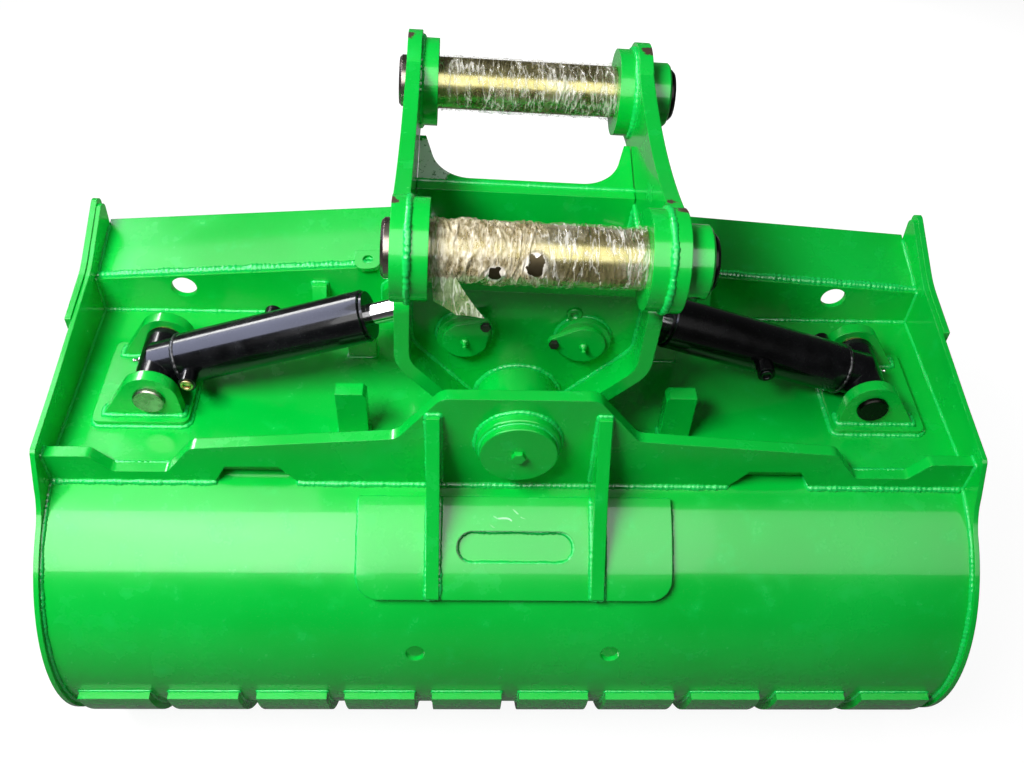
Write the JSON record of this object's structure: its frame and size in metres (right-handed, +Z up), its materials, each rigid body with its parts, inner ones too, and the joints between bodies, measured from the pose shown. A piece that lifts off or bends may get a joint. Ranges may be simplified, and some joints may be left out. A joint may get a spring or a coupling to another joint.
{
  "type": "tilt bucket",
  "caption": "Wide grading bucket for an excavator, with a hanger head that tilts on a central pivot, pushed by a hydraulic cylinder on either side.",
  "frame": {"origin": "middle of the footprint, on the plane that the cutting edge and heel strips rest on", "axes": "+X along the cutting edge to the right as seen from behind the bucket, +Y towards the cutting edge, +Z up"},
  "size_m": [1.49, 0.8068, 1.0654],
  "materials": {
    "green_paint": "bright green gloss paint",
    "black_paint": "black gloss paint",
    "bare_steel": "turned steel",
    "yellow_zinc": "yellow zinc on steel, under clear film",
    "dark_steel": "blackened steel",
    "bronze": "plain bronze",
    "chromed_rod": "hard chrome, polished"
  },
  "bodies": {
    "bucket": {"shell": "green_paint", "bed_plate": "green_paint", "rear_pivot_plate": "green_paint", "front_wall": "green_paint", "front_lip_panel": "green_paint", "end_plate_right": "green_paint", "end_plate_left": "green_paint", "side_cutters": "green_paint", "cutting_edge": "green_paint", "heel_strips": "green_paint", "shell_doubler": "green_paint", "rear_ribs": "green_paint", "front_pivot_plate": "green_paint", "rear_pivot_boss": "green_paint", "pivot_pin": "bare_steel", "pivot_cap": "green_paint", "grease_bolt": "bare_steel", "thrust_washers": "bronze", "stop_blocks": "green_paint", "lug_pads": "green_paint", "cylinder_lugs": "green_paint", "base_pins": "bare_steel", "lifting_tab": "green_paint", "wall_ribs": "green_paint"},
    "head": {"pivot_tube": "green_paint", "pivot_bushes": "bronze", "head_rear_cheek": "green_paint", "head_front_cheek": "green_paint", "head_side_right": "green_paint", "head_side_left": "green_paint", "ear_right": "green_paint", "ear_left": "green_paint", "ear_bosses": "green_paint", "hanger_pin_rear": "yellow_zinc", "hanger_pin_front": "yellow_zinc", "pin_collars": "green_paint", "collar_bolts": "dark_steel", "cross_plate": "green_paint", "rod_pin_bosses": "green_paint", "rod_pin_ends": "bare_steel", "keeper_plates": "green_paint", "keeper_bolts": "green_paint"},
    "left_barrel": {"base_eye_left": "black_paint", "eye_bushes_left": "bronze", "barrel_left": "black_paint", "gland_left": "black_paint", "ports_left": "black_paint"},
    "left_rod": {"rod_left": "chromed_rod", "piston_left": "dark_steel", "rod_eye_left": "black_paint", "rod_pin_left": "bare_steel"},
    "right_barrel": {"base_eye_right": "black_paint", "eye_bushes_right": "bronze", "barrel_right": "black_paint", "gland_right": "black_paint", "ports_right": "black_paint"},
    "right_rod": {"rod_right": "chromed_rod", "piston_right": "dark_steel", "rod_eye_right": "black_paint", "rod_pin_right": "bare_steel"}
  },
  "joints": [
    {"name": "head_tilt", "type": "hinge", "parent": "bucket", "child": "head", "pos_m": [0, -0.00156, 0.655], "axis": [0, 1, 0], "range_deg": [-37, 33]},
    {"name": "left_barrel_swing", "type": "hinge", "parent": "bucket", "child": "left_barrel", "pos_m": [-0.584, -0.00156, 0.62], "axis": [0, 1, 0], "range_deg": [-3.8, 4.26]},
    {"name": "left_rod_slide", "type": "slide", "parent": "left_barrel", "child": "left_rod", "axis": [0.9469, 0, 0.3215], "range_m": [-0.0986, 0.0879]},
    {"name": "right_barrel_swing", "type": "hinge", "parent": "bucket", "child": "right_barrel", "pos_m": [0.584, -0.00156, 0.62], "axis": [0, 1, 0], "range_deg": [-3.96, 4.44]},
    {"name": "right_rod_slide", "type": "slide", "parent": "right_barrel", "child": "right_rod", "axis": [-0.9487, 0, 0.3163], "range_m": [-0.0879, 0.0986]}
  ],
  "couplings": [
    {"joint": "left_barrel_swing", "follows": "head_tilt", "ratio": -0.115},
    {"joint": "left_rod_slide", "follows": "head_tilt", "m_per_rad": 0.1525},
    {"joint": "right_barrel_swing", "follows": "head_tilt", "ratio": -0.12},
    {"joint": "right_rod_slide", "follows": "head_tilt", "m_per_rad": -0.1525}
  ]
}
